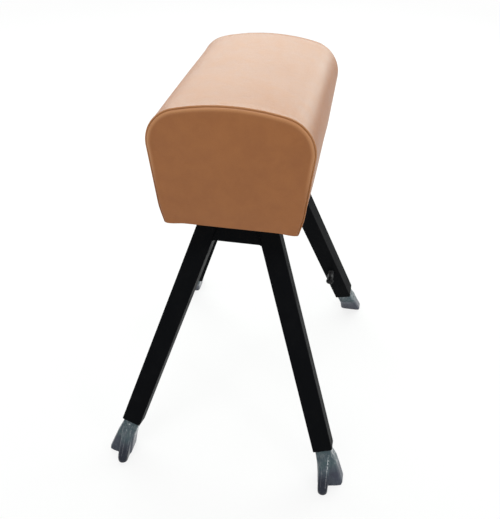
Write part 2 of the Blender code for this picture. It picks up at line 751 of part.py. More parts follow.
def make_spring(label, axis, low, high):
    """The coil between the pin's collar and the closed end of the barrel."""
    radius = (PIN_RADIUS + POCKET_RADIUS) / 2
    start = low + GAP + SPRING_WIRE / 2
    rise = high - GAP - SPRING_WIRE / 2 - start
    count = SPRING_TURNS * SPRING_STEPS
    curve = bpy.data.curves.new("coil_" + label, "CURVE")
    curve.dimensions = "3D"
    curve.bevel_depth = SPRING_WIRE / 2
    curve.bevel_resolution = 1
    curve.use_fill_caps = True
    line = curve.splines.new("POLY")
    line.points.add(count)
    for i in range(count + 1):
        turn = 2 * math.pi * i / SPRING_STEPS
        line.points[i].co = (radius * math.cos(turn), radius * math.sin(turn),
                             start + rise * i / count, 1.0)
    spring = bpy.data.objects.new("lock_spring_" + label, curve)
    PARTS.objects.link(spring)
    spring.parent = axis
    curve.materials.append(material("lock_spring_" + label, *STEEL_LOOK))
    weld = spring.modifiers.new("closed caps", "WELD")
    weld.merge_threshold = MERGE


def build():
    base = make_core()
    make_padding()
    make_wrap()
    make_end_panel("end_panel_front", -1)
    make_end_panel("end_panel_rear", 1)
    for front_rear, end in (("front", -1), ("rear", 1)):
        make_plate(front_rear, end, base)
        make_crossbar(front_rear, end)
        for left_right, side in (("left", -1), ("right", 1)):
            label = front_rear + "_" + left_right
            leg = empty("leg_axis_" + label, leg_matrix(side, end))
            make_outer_tube(label, leg)
            make_guide_sleeve(label, leg)
            make_inner_tube(label, leg)
            make_glide(label, leg)
            make_foot(label, side, end, leg)
            make_lock(label, leg)


build()
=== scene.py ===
"""Vaulting buck: the looks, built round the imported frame. Units are metres, +Z is up."""
import math

import bmesh
import bpy
import numpy as np
from mathutils import Matrix, Vector


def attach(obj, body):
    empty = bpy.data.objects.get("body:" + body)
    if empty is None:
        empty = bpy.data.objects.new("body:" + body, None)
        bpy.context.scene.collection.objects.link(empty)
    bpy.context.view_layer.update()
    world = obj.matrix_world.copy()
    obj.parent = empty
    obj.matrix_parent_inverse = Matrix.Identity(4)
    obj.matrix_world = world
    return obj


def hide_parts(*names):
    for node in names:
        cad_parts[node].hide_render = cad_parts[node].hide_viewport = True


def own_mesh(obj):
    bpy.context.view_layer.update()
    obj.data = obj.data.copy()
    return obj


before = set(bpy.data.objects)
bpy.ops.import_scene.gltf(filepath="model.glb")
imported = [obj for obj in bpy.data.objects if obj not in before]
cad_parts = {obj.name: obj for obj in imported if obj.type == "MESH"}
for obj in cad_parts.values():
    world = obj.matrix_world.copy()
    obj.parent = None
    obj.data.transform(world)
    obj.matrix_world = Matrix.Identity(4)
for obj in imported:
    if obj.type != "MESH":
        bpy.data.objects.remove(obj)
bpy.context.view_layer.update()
bpy.ops.object.select_all(action="DESELECT")

# Sizes repeated from the part: the outside of the leather cover
BODY_BOTTOM = 0.668
BODY_WIDTH = 0.369
BODY_HEIGHT = 0.288
SIDE_LEAN = math.radians(6.87)
SHOULDER_RADIUS = 0.082
CROWN_RADIUS = 0.517
TUCK_HEIGHT = 0.046
TUCK_RADIUS = 0.130
LEATHER = 0.0025
HEM_WIDTH = 0.025
CORE_HEIGHT = 0.215
CORE_REACH = 0.0251
GAP = 0.0003

# The leg frames
LEG_SPREAD = 0.0542
FRAME_SPREAD = 0.1344
LEG_SPLAY = math.radians(18.03)
FRAME_TILT = math.radians(19.2)
TUBE = 0.050
CROSSBAR_DROP = 0.098
CROSSBAR_DEPTH = 0.050
LOCK_TRAVEL = 0.010

# The cover's mesh
CELL_COUNT_TOP = 50
CELL_COUNT_SIDE = 44
ROW_STEP = 0.0062
ARC_POINTS = 200
HEM_EASE = 0.004

# How the bottom edge of an end hangs: the drop, how far up it reaches and how far along
SAG = 0.0028
EAR_SAG = 0.0032
EAR_FLARE = 0.0015
EAR_RANGE = (0.72, 0.93)
EAR_HEIGHT = 0.012
SAG_HEIGHT = 0.03
SAG_LENGTH = 0.045

# How the stuffing swells the leather
CLOTH_FRAMES = 20
COVER_PRESSURE = 1.2
CUSHION_PRESSURE = 0.5
PAD_SWELL_LIMIT = 0.0035
CUSHION_CROWN = 0.0014
CUSHION_DIP = 0.0004
COVER_WAVES = 0.0005
COVER_GATHERS = 0.00022
CUSHION_WAVES = 0.0006
CUSHION_GATHERS = 0.00025
# Heights over which the painted highlight on the rolled rims fades out towards the bottom
RIM_HIGHLIGHT_FADE = (0.06, 0.20)

# Small pieces
WELD_RADIUS = 0.0022
STAPLES = 19
STAPLE_REACH = 0.205
STAPLE_SIZE = (0.0012, 0.0110, 0.0009)
STAPLE_BEVEL = 0.0003
STAPLE_SINK = 0.0003
FOOT_VOXEL = 0.0013

# The ends, as pairs of distance from the middle and inset in the outline: the cover's edge
# from its seam inwards, and the cushion from its back over its roll to its face
SEAM_Y = 0.2556
EDGE = ((0.2544, 0.0027), (0.2552, 0.0024), (0.2557, 0.0016), (0.2556, 0.0007),
        (0.2550, -0.0003), (0.2540, -0.0010), (0.2526, -0.0010), (0.2508, -0.0006),
        (0.2484, -0.0002), (0.2450, 0.0))
ROLL = ((0.2400, 0.0300), (0.2500, 0.0300), (0.2530, 0.0060), (0.2542, 0.0034),
        (0.2552, 0.0028), (0.2560, 0.0031), (0.2568, 0.0038), (0.2575, 0.0048),
        (0.2581, 0.0061), (0.2585, 0.0077), (0.2587, 0.0095), (0.2586, 0.0116))

# The studio: the floor turns to plain white between two distances from the buck
FLOOR_SIZE = 60.0
FLOOR_DROP = 0.0005
FLOOR_GREY = 0.86
WHITE_SHARE = 0.80
WHITE_FROM = 1.5
WHITE_TO = 6.0
WORLD_LIGHT = 0.42

# The camera
CAMERA_PLACE = (0.29096, -1.55053, 1.49514)
CAMERA_YAW = 0.18720
CAMERA_PITCH = 0.60438
CAMERA_ROLL = 0.0043055
CAMERA_LENS = 47.785
SENSOR_WIDTH = 36.0

# Lamps: name, place, aim, width, height, radiance and colour
WHITE = (1.0, 1.0, 1.0)
GREENISH = (0.92, 1.0, 0.94)
LAMPS = (
    ("back softbox", (-1.1, 3.2, 2.9), (0, 0, 0.85), 4.4, 3.0, 4.0, GREENISH),
    ("back right softbox", (1.9, 3.0, 2.1), (0, 0, 0.85), 2.6, 1.8, 5.4, GREENISH),
    ("top softbox", (0.5, -0.2, 3.2), (0, 0, 0.8), 2.4, 2.4, 0.4, WHITE),
    ("front strip", (-0.4, -1.3, 3.0), (0, -0.25, 0.9), 1.6, 0.6, 6.3, WHITE),
    ("front softbox", (-1.6, -2.8, 2.0), (0, 0, 0.4), 0.6, 0.9, 4.0, WHITE),
    ("right softbox", (2.6, -1.9, 1.3), (0, 0, 0.5), 0.4, 1.8, 7.0, WHITE),
)

LEGS = [(front_rear + "_" + left_right, end, side)
        for front_rear, end in (("front", -1), ("rear", 1))
        for left_right, side in (("left", -1), ("right", 1))]


# Shader maths

class Wire:
    """A node's output. Sums, differences and products of it add Math nodes."""

    def __init__(self, finish, socket):
        self.finish = finish
        self.socket = socket

    def __add__(self, other):
        return self.finish.maths("ADD", self, other)

    def __radd__(self, other):
        return self.finish.maths("ADD", other, self)

    def __sub__(self, other):
        return self.finish.maths("SUBTRACT", self, other)

    def __rsub__(self, other):
        return self.finish.maths("SUBTRACT", other, self)

    def __mul__(self, other):
        return self.finish.maths("MULTIPLY", self, other)

    def __rmul__(self, other):
        return self.finish.maths("MULTIPLY", other, self)


class Finish:
    """One material and the nodes that make it."""

    def __init__(self, name):
        self.material = bpy.data.materials.new(name)
        self.material.use_nodes = True
        self.tree = self.material.node_tree
        self.shader = self.tree.nodes["Principled BSDF"]
        self.place = self.node("ShaderNodeTexCoord", output="Object")

    def node(self, kind, settings=None, inputs=None, output=0):
        made = self.tree.nodes.new(kind)
        for name, value in (settings or {}).items():
            setattr(made, name, value)
        for name, value in (inputs or {}).items():
            self.feed(made.inputs[name], value)
        return Wire(self, made.outputs[output])

    def feed(self, socket, value):
        if isinstance(value, Wire):
            self.tree.links.new(value.socket, socket)
        elif isinstance(value, tuple) and len(value) == 3 and socket.type == "RGBA":
            socket.default_value = (*value, 1.0)
        else:
            socket.default_value = value

    def maths(self, operation, first, second):
        return self.node("ShaderNodeMath", {"operation": operation}, {0: first, 1: second})

    def between(self, value, low, high, out_low=0.0, out_high=1.0):
        """Carries value from the range low..high to out_low..out_high, without overshoot."""
        return self.node("ShaderNodeMapRange", {"interpolation_type": "SMOOTHSTEP"},
                         {"Value": value, "From Min": low, "From Max": high,
                          "To Min": out_low, "To Max": out_high})

    def blend(self, mask, first, second):
        """A colour that goes from first to second as mask goes from 0 to 1."""
        return self.node("ShaderNodeMix", {"data_type": "RGBA"},
                         {0: mask, 6: first, 7: second}, output=2)

    def noise(self, scale, detail=3.0, roughness=0.5, stretch=None, distortion=0.0):
        """Cloudy pattern with scale features to the metre."""
        place = self.stretched(stretch) if stretch else self.place
        return self.node("ShaderNodeTexNoise", None,
                         {"Vector": place, "Scale": scale, "Detail": detail,
                          "Roughness": roughness, "Distortion": distortion})

    def cells(self, scale):
        """Distance to the nearest of many scattered points."""
        return self.node("ShaderNodeTexVoronoi", None,
                         {"Vector": self.place, "Scale": scale}, output="Distance")

    def stretched(self, stretch):
        """The object's coordinates, turned and scaled: (rotation, scale)."""
        turn, scale = stretch
        turned = self.node("ShaderNodeMapping", None,
                           {"Vector": self.place, "Rotation": turn})
        return self.node("ShaderNodeVectorMath", {"operation": "MULTIPLY"},
                         {0: turned, 1: scale})

    def axis(self, letter):
        return self.node("ShaderNodeSeparateXYZ", None, {0: self.place}, output=letter)

    def bump(self, height, depth, under=None):
        inputs = {"Height": height, "Distance": depth, "Strength": 1.0}
        if under:
            inputs["Normal"] = under
        return self.node("ShaderNodeBump", None, inputs)

    def set(self, **sockets):
        for name, value in sockets.items():
            self.feed(self.shader.inputs[name.replace("_", " ")], value)
        return self


def natural_leather():
    """Brown cowhide: cloudy tanning, pebbled grain and hair pores, with painted shade in the
    seam grooves and along the cover's bottom edge, and a painted highlight on the rolled rims.
    """
    f = Finish("natural leather")
    cloud = f.noise(7.0, 3.0, 0.55)
    patch = f.noise(34.0, 4.0, 0.6, distortion=0.4)
    grain = f.cells(760.0)
    pores = f.noise(1500.0, 2.0, 0.6)
    crease = f.noise(150.0, 3.0, 0.55, distortion=1.2)
    # seam holds painted shade and rim a painted highlight, both stored on the leather meshes
    seam = f.node("ShaderNodeAttribute", {"attribute_name": "seam"}, output="Fac")
    rim = f.node("ShaderNodeAttribute", {"attribute_name": "rim"}, output="Fac")
    tone = f.between(cloud * 0.5 + patch * 0.5, 0.30, 0.70)
    tan = f.blend(tone, (0.276, 0.090, 0.0150), (0.324, 0.113, 0.0230))
    pits = f.between(grain, 0.35, 0.75)
    tan = f.blend(pits * 0.16, tan, (0.20, 0.066, 0.016))
    # Painted highlight on the rolled rims
    tan = f.blend(rim * 0.75, tan, (0.52, 0.24, 0.095))
    # Painted shade in the seam grooves and along the cover's bottom edge
    tan = f.blend(seam * 0.12, tan, (0.075, 0.040, 0.020))
    rough = 0.43 + (patch - 0.5) * 0.14 + pits * 0.06 + (cloud - 0.5) * 0.08 + seam * 0.35
    height = (1.0 - grain) * 0.6 + pores * 0.25 + crease * 0.5
    rolling = f.bump(patch, 0.0005)
    return f.set(Base_Color=tan, Roughness=rough, Specular_IOR_Level=0.52,
                 Normal=f.bump(height, 0.00022, rolling))


def black_powder_coat():
    """Satin black powder coating with its fine orange peel and faint dust."""
    f = Finish("black powder coat")
    peel = f.noise(620.0, 2.0, 0.5)
    cloud = f.noise(18.0, 4.0, 0.6)
    speck = f.between(f.noise(900.0, 1.0, 0.5), 0.66, 0.74)
    dust = f.between(cloud, 0.45, 0.75)
    black = f.blend(dust * 0.6, (0.0050, 0.0054, 0.0062), (0.0078, 0.0081, 0.0088))
    black = f.blend(speck * 0.25, black, (0.014, 0.014, 0.015))
    rough = 0.36 + dust * 0.12 + (peel - 0.5) * 0.08
    return f.set(Base_Color=black, Roughness=rough, IOR=1.045,
                 Normal=f.bump(peel, 0.00012))


def zinc_plating(name, turn):
    """Bluish zinc on steel, with fine marks along the tube."""
    f = Finish(name)
    marks = f.noise(1.0, 3.0, 0.6, stretch=(turn, (420.0, 420.0, 14.0)))
    cloud = f.noise(30.0, 4.0, 0.6)
    shade = f.between(marks * 0.5 + cloud * 0.5, 0.35, 0.65)
    zinc = f.blend(shade, (0.46, 0.48, 0.52), (0.66, 0.68, 0.70))
    rough = 0.26 + (1.0 - shade) * 0.16
    return f.set(Base_Color=zinc, Roughness=rough, Metallic=1.0,
                 Normal=f.bump(marks, 0.00004))


def turned_steel():
    """Bright machined steel with its turning marks."""
    f = Finish("turned steel")
    marks = f.noise(900.0, 2.0, 0.5)
    cloud = f.noise(60.0, 3.0, 0.6)
    steel = f.blend(f.between(cloud, 0.35, 0.65), (0.50, 0.50, 0.49), (0.72, 0.72, 0.71))
    rough = 0.22 + cloud * 0.18
    return f.set(Base_Color=steel, Roughness=rough, Metallic=1.0,
                 Normal=f.bump(marks, 0.00003))


def grey_foot_plastic():
    """Blue-grey soft PVC, glossy from the mould and scuffed near the floor, with painted shade
    on the toe and low down and a lighter painted reflection higher up.
    """
    f = Finish("grey foot plastic")
    cloud = f.noise(55.0, 4.0, 0.6)
    scuffs = f.noise(260.0, 3.0, 0.6, distortion=0.8)
    height = f.axis("Z")
    low = f.between(height, 0.0, 0.03, 1.0, 0.0)
    toe_shade = f.between(f.maths("ABSOLUTE", f.axis("Y"), 0.0), 0.390, 0.416)
    dents = f.noise(85.0, 2.0, 0.5)
    marks = f.between(scuffs + low * 0.06, 0.54, 0.72)
    # Painted reflection and shade: lighter higher up, darker lower down
    grey = f.blend(f.between(height, 0.028, 0.058), (0.050, 0.056, 0.080), (0.056, 0.088, 0.099))
    grey = f.blend(f.between(cloud, 0.40, 0.68) * 0.6, grey, (0.076, 0.090, 0.114))
    # Painted shade: near-black toe, and darker near the floor
    grey = f.blend(toe_shade * 0.80 + low * 0.12, grey, (0.008, 0.010, 0.020))
    grey = f.blend(marks * 0.12, grey, (0.16, 0.20, 0.23))
    rough = 0.13 + marks * 0.20 + (cloud - 0.5) * 0.08
    rolling = f.bump(dents, 0.00050)
    sheen = f.between(f.noise(130.0, 2.0, 0.5), 0.46, 0.60) * f.between(height, 0.036, 0.060)
    return f.set(Base_Color=grey, Roughness=rough, Specular_IOR_Level=0.20,
                 Coat_Weight=sheen, Coat_Roughness=0.06,
                 Normal=f.bump(scuffs, 0.00006, rolling))


def blackened_steel():
    """Oiled black steel of the lock barrels, worn a little brighter in patches."""
    f = Finish("blackened steel")
    marks = f.noise(700.0, 2.0, 0.5)
    cloud = f.noise(70.0, 3.0, 0.6)
    worn = f.between(cloud, 0.42, 0.66)
    steel = f.blend(worn, (0.030, 0.031, 0.033), (0.075, 0.076, 0.078))
    return f.set(Base_Color=steel, Roughness=0.34 - worn * 0.10, Specular_IOR_Level=0.3,
                 Normal=f.bump(marks, 0.00003))


def black_moulded_plastic(name, base):
    """Black injection-moulded plastic with a fine spark texture."""
    f = Finish(name)
    spark = f.noise(1400.0, 2.0, 0.6)
    cloud = f.noise(90.0, 3.0, 0.6)
    tone = f.between(cloud, 0.35, 0.65)
    black = f.blend(tone, base, tuple(1.9 * c for c in base))
    return f.set(Base_Color=black, Roughness=0.42 + tone * 0.12, Specular_IOR_Level=0.12,
                 Normal=f.bump(spark, 0.00006))


def birch_plywood():
    """Birch plywood: long grain on its faces, plies on its edges."""
    f = Finish("birch plywood")
    grain = f.noise(1.0, 4.0, 0.6, stretch=((0, 0, 0), (160.0, 9.0, 160.0)), distortion=0.3)
    figure = f.noise(1.0, 3.0, 0.5, stretch=((0, 0, 0), (22.0, 3.0, 22.0)))
    plies = f.node("ShaderNodeMath", {"operation": "PINGPONG"},
                   {0: f.axis("Z"), 1: 0.0015})
    face = f.between(grain * 0.6 + figure * 0.4, 0.36, 0.64)
    wood = f.blend(face, (0.42, 0.26, 0.13), (0.63, 0.44, 0.25))
    normal = f.node("ShaderNodeNewGeometry", output="True Normal")
    upright = f.node("ShaderNodeSeparateXYZ", None, {0: normal}, output="Z")
    edge = f.between(f.maths("ABSOLUTE", upright, 0.0), 0.5, 0.8, 1.0, 0.0)
    layer = f.between(plies, 0.0005, 0.0010)
    wood = f.blend(edge * layer * 0.7, wood, (0.24, 0.13, 0.06))
    return f.set(Base_Color=wood, Roughness=0.62 + grain * 0.15,
                 Normal=f.bump(grain, 0.0002))


# The cover's outline, seen from its end

def shoulder_centre():
    x = BODY_WIDTH / 2 - SHOULDER_RADIUS
    reach = CROWN_RADIUS - SHOULDER_RADIUS
    return x, BODY_HEIGHT - CROWN_RADIUS + math.sqrt(reach ** 2 - x ** 2)


def side_x(height):
    """Half width of the straight leaning side, carried to any height."""
    x, z = shoulder_centre()
    touch_x = x + SHOULDER_RADIUS * math.cos(SIDE_LEAN)
    touch_z = z - SHOULDER_RADIUS * math.sin(SIDE_LEAN)
    return touch_x - (touch_z - height) * math.tan(SIDE_LEAN)


def core_x(height):
    return side_x(height) - CORE_REACH / math.cos(SIDE_LEAN)


def arc(centre, radius, start, end):
    turn = np.linspace(start, end, ARC_POINTS)
    return np.stack([centre[0] + radius * np.cos(turn), centre[1] + radius * np.sin(turn)], 1)


def evenly(path, count):
    """count + 1 points at equal steps along a path of points."""
    steps = np.linalg.norm(np.diff(path, axis=0), axis=1)
    along = np.concatenate([[0.0], np.cumsum(steps)])
    wanted = np.linspace(0, along[-1], count + 1)
    return np.stack([np.interp(wanted, along, path[:, k]) for k in range(2)], 1)


def outline(inset):
    """Right bottom corner, over the crown, to the left bottom corner."""
    shoulder = shoulder_centre()
    crown = (0.0, BODY_HEIGHT - CROWN_RADIUS)
    meet = math.atan2(shoulder[1] - crown[1], shoulder[0] - crown[0])
    middle = (meet - SIDE_LEAN) / 2
    tuck = (side_x(TUCK_HEIGHT) - TUCK_RADIUS * math.cos(SIDE_LEAN),
            TUCK_HEIGHT + TUCK_RADIUS * math.sin(SIDE_LEAN))
    lowest = math.asin((inset - tuck[1]) / (TUCK_RADIUS - inset))
    side = np.concatenate([arc(tuck, TUCK_RADIUS - inset, lowest, -SIDE_LEAN),
                           arc(shoulder, SHOULDER_RADIUS - inset, -SIDE_LEAN, middle)])
    top = np.concatenate([arc(shoulder, SHOULDER_RADIUS - inset, middle, meet),
                          arc(crown, CROWN_RADIUS - inset, meet, math.pi / 2)])
    side = evenly(side, CELL_COUNT_SIDE)
    top = evenly(top, CELL_COUNT_TOP // 2)
    right = np.concatenate([side, top[1:]])
    left = right[:-1][::-1] * (-1, 1)
    return np.concatenate([right, left])


def nearest_inset(x, height):
    """Roughly how far in from the outline each point lies."""
    path = outline(0.0)
    gaps = np.hypot(path[None, :, 0] - x[:, None], path[None, :, 1] - height[:, None])
    return gaps.min(axis=1)


def smooth(value, low, high):
    t = np.clip((value - low) / (high - low), 0, 1)
    return t * t * (3 - 2 * t)


def sagging(x, z, reach):
    """The bottom edge of an end hangs a little, and its corners hang and flare like ears."""
    corner = smooth(np.abs(x) / reach, *EAR_RANGE)
    x = x + np.sign(x) * EAR_FLARE * corner * (1 - smooth(z, 0.0, EAR_HEIGHT))
    return x, z - (SAG + EAR_SAG * corner) * (1 - smooth(z, 0.0, SAG_HEIGHT))


# Meshes

def add_object(name, data):
    made = bpy.data.objects.new(name, data)
    bpy.context.scene.collection.objects.link(made)
    return made


def mesh_object(name, points, faces):
    mesh = bpy.data.meshes.new(name)
    mesh.from_pydata([tuple(p) for p in points], [], faces)
    return add_object(name, mesh)


def ring_faces(rings, count):
    """Quads between rings of count points each, every ring joined to the next."""
    faces = []
    for a in range(0, (rings - 1) * count, count):
        b = a + count
        for i in range(count):
            j = (i + 1) % count
            faces.append((a + i, a + j, b + j, b + i))
    return faces


def make_active(piece):
    bpy.ops.object.select_all(action="DESELECT")
    piece.select_set(True)
    bpy.context.view_layer.objects.active = piece


def apply_modifier(piece, kind, **settings):
    made = piece.modifiers.new(kind.lower(), kind)
    for name, value in settings.items():
        setattr(made, name, value)
    make_active(piece)
    bpy.ops.object.modifier_apply(modifier=made.name)


def facing_out(piece):
    work = bmesh.new()
    work.from_mesh(piece.data)
    bmesh.ops.remove_doubles(work, verts=work.verts, dist=0.00002)
    bmesh.ops.recalc_face_normals(work, faces=work.faces)
    work.to_mesh(piece.data)
    work.free()


def smooth_faces(piece, angle=None):
    make_active(piece)
    if angle is None:
        bpy.ops.object.shade_smooth()
    else:
        bpy.ops.object.shade_smooth_by_angle(angle=math.radians(angle))


def put_on(piece, finish):
    piece.data.materials.clear()
    piece.data.materials.append(finish.material)


def dress(piece, finish, body):
    put_on(piece, finish)
    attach(piece, body)


def vertex_vectors(mesh, kind):
    flat = np.zeros(len(mesh.vertices) * 3)
    mesh.vertices.foreach_get(kind, flat)
    return flat.reshape(-1, 3)


def points_of(piece):
    return vertex_vectors(piece.data, "co")


def set_points(piece, points):
    piece.data.vertices.foreach_set("co", points.ravel())
    piece.data.update()


def stuff(piece, held, pressure):
    """Blow the leather out against its stuffing with a cloth run, held where it is fixed."""
    start = points_of(piece)
    group = piece.vertex_groups.new(name="held")
    for i, weight in enumerate(held):
        if weight > 0:
            group.add([i], float(weight), "REPLACE")
    cloth = piece.modifiers.new("stuffing", "CLOTH")
    settings = cloth.settings
    settings.quality = 6
    settings.mass = 0.4
    settings.tension_stiffness = 60
    settings.compression_stiffness = 60
    settings.shear_stiffness = 30
    settings.bending_stiffness = 8
    settings.use_pressure = True
    settings.uniform_pressure_force = pressure
    settings.vertex_group_mass = "held"
    settings.effector_weights.gravity = 0
    cloth.collision_settings.use_collision = False
    for number in range(1, CLOTH_FRAMES + 1):
        bpy.context.scene.frame_set(number)
    dg = bpy.context.evaluated_depsgraph_get()
    move = vertex_vectors(piece.evaluated_get(dg).to_mesh(), "co") - start
    piece.modifiers.remove(cloth)
    piece.vertex_groups.clear()
    size = np.linalg.norm(move, axis=1, keepdims=True)
    capped = np.tanh(size / PAD_SWELL_LIMIT) * PAD_SWELL_LIMIT
    set_points(piece, start + move / np.maximum(size, 1e-9) * capped)
    bpy.context.scene.frame_set(1)


def ripple(points, seed, scale):
    """Smooth seeded waves in space, roughly between -1 and 1."""
    rng = np.random.default_rng(seed)
    total = np.zeros(len(points))
    for _ in range(9):
        way = rng.normal(size=3)
        way *= scale * rng.uniform(0.6, 1.5) / np.linalg.norm(way)
        total += np.sin(points @ way + rng.uniform(0, 2 * math.pi))
    return total / 4.0


def mark(piece, name, strength):
    """Keep a strength for each point, for the leather's finish to read."""
    layer = piece.data.attributes.new(name, "FLOAT", "POINT")
    layer.data.foreach_set("value", strength.astype(np.float32))


def make_cover():
    """The leather over the top and sides with its padding, one closed form round the core."""
    end = EDGE[-1][0]
    middle = np.linspace(-end, end, int(round(2 * end / ROW_STEP)) + 1)[1:-1]
    rows = [(-y, inset) for y, inset in EDGE] + [(y, 0.0) for y in middle]
    rows += [(y, inset) for y, inset in reversed(EDGE)]
    points, held = [], []
    for y, inset in rows:
        from_seam = SEAM_Y - abs(y)
        shape = outline(inset)
        near_end = 1 - smooth(from_seam, 0.0, SAG_LENGTH)
        corner = shape[0, 0]
        hem = corner - HEM_WIDTH
        under = [(hem, LEATHER), (hem, 0.0), (corner - HEM_WIDTH / 2, 0.0),
                 (corner - HEM_EASE, 0.0)]
        foot, top = core_x(LEATHER), core_x(CORE_HEIGHT) + GAP
        inside = [(top, CORE_HEIGHT + GAP), (foot + GAP, LEATHER)]
        ring = under + [tuple(p) for p in shape]
        ring += [(-x, z) for x, z in reversed(under)]
        ring += [(-x, z) for x, z in reversed(inside)] + inside
        fixed = [1.0] * len(under)
        edge = 1 - smooth(from_seam, 0.008, 0.035)
        for x, z in shape:
            fixed.append(max(edge, 1 - smooth(z, 0.0, 0.020)))
        fixed += [1.0] * (len(under) + 2 * len(inside))
        ring = np.array(ring)
        hung_x, hung_z = sagging(ring[:, 0], ring[:, 1], corner)
        ring[:-4, 0] += (hung_x - ring[:, 0])[:-4] * near_end
        ring[:-4, 1] += (hung_z - ring[:, 1])[:-4] * near_end
        for (x, z), weight in zip(ring, fixed):
            points.append((x, y, BODY_BOTTOM + z))
            held.append(weight)
    count = len(ring)
    faces = ring_faces(len(rows), count)
    last = (len(rows) - 1) * count
    faces.append(tuple(range(count - 1, -1, -1)))
    faces.append(tuple(last + i for i in range(count)))
    cover = mesh_object("leather_cover", points, faces)
    facing_out(cover)
    stuff(cover, held, COVER_PRESSURE)
    apply_modifier(cover, "TRIANGULATE", ngon_method="BEAUTY", min_vertices=5)
    apply_modifier(cover, "SUBSURF", levels=1, render_levels=1,
                   boundary_smooth="PRESERVE_CORNERS")
    sculpt_cover(cover)
    return cover


def sculpt_cover(cover):
    """Soft undulation over the top, and small gathers where the leather turns into the seam."""
    points = points_of(cover)
    normals = vertex_vectors(cover.data, "normal")
    height = points[:, 2] - BODY_BOTTOM
    from_seam = np.abs(np.abs(points[:, 1]) - SEAM_Y)
    outside = smooth(height, 0.006, 0.02)
    away = smooth(from_seam, 0.004, 0.03)
    soft = ripple(points, 3, 26.0) * COVER_WAVES * away
    gather = ripple(points * (1.0, 0.25, 1.0), 5, 240.0)
    near = np.exp(-((from_seam - 0.012) / 0.009) ** 2)
    curved = smooth(height, 0.12, 0.26) * (1 - 0.5 * smooth(height, 0.26, 0.285))
    gathered = gather * near * curved * COVER_GATHERS
    moved = points + normals * (outside * (soft + gathered))[:, None]
    set_points(cover, moved)
    along = np.abs(moved[:, 1])
    # Painted shade: darker in the seam groove and along the bottom edge of the cover
    seam_and_edge_shade = smooth(along, 0.2551, 0.2557) + 0.4 * np.exp(-height / 0.004)
    mark(cover, "seam", np.clip(seam_and_edge_shade, 0, 1))
    # Painted highlight on the cover's rolled edge by the seam, fading towards the bottom
    mark(cover, "rim", 0.8 * smooth(along, 0.2532, 0.2552) * smooth(height, *RIM_HIGHLIGHT_FADE))


def coons(bottom, right, top, left):
    """A grid of points that fills four joined edges."""
    u = np.linspace(0, 1, len(bottom))[:, None, None]
    v = np.linspace(0, 1, len(right))[None, :, None]
    across = (1 - v) * bottom[:, None] + v * top[:, None]
    up = (1 - u) * left[None] + u * right[None]
    corners = ((1 - u) * (1 - v) * bottom[0] + u * (1 - v) * bottom[-1]
               + (1 - u) * v * top[0] + u * v * top[-1])
    return across + up - corners


def make_end_cushion(name, side):
    """A stuffed leather end: a rolled rim at the seam round a gently crowned face."""
    points, held = [], []
    for number, (y, inset) in enumerate(ROLL):
        shape = outline(inset)
        bottom = np.linspace(shape[-1], shape[0], CELL_COUNT_TOP + 1)[1:-1]
        reach = abs(shape[0, 0])
        ring = np.concatenate([shape, bottom])
        ring[:, 1] -= 0.8 * inset * (1 - smooth(ring[:, 1] - inset, 0.0, SAG_HEIGHT))
        ring[:, 0], ring[:, 1] = sagging(ring[:, 0], ring[:, 1], reach)
        for x, z in ring:
            points.append((x, side * y, BODY_BOTTOM + z))
            held.append(1.0 if number < len(ROLL) - 1 else 0.6)
    count = len(ring)
    faces = ring_faces(len(ROLL), count)
    last = (len(ROLL) - 1) * count
    ring = np.array(points[last:])[:, (0, 2)]
    ns, nt = CELL_COUNT_SIDE, CELL_COUNT_TOP
    number = np.arange(count)
    right = number[:ns + 1]
    top = number[ns:ns + nt + 1]
    left = number[ns + nt:2 * ns + nt + 1]
    bottom = np.concatenate([number[2 * ns + nt:], number[:1]])
    grid = coons(ring[bottom], ring[right], ring[top][::-1], ring[left][::-1])
    index = np.full((nt + 1, ns + 1), -1)
    index[:, 0] = bottom
    index[-1, :] = right
    index[:, -1] = top[::-1]
    index[0, :] = left[::-1]
    index[index >= 0] += last
    for u in range(1, nt):
        for v in range(1, ns):
            index[u, v] = len(points)
            x, z = grid[u, v]
            edge = min(u, nt - u, v, ns - v) / (nt / 2)
            dip = CUSHION_DIP * math.exp(-((edge - 0.10) / 0.08) ** 2)
            crown = CUSHION_CROWN * smooth(edge, 0.10, 0.9) - dip
            points.append((x, side * (ROLL[-1][0] + crown), z))
            held.append(0.0)
    for u in range(nt):
        for v in range(ns):
            faces.append(tuple(int(k) for k in (index[u, v], index[u + 1, v],
                                                index[u + 1, v + 1], index[u, v + 1])))
    faces.append(tuple(range(count - 1, -1, -1)))
    cushion = mesh_object(name, points, faces)
    facing_out(cushion)
    stuff(cushion, held, CUSHION_PRESSURE)
    apply_modifier(cushion, "TRIANGULATE", ngon_method="BEAUTY", min_vertices=5)
    apply_modifier(cushion, "SUBSURF", levels=1, render_levels=1)
    sculpt_cushion(cushion, side)
    return cushion


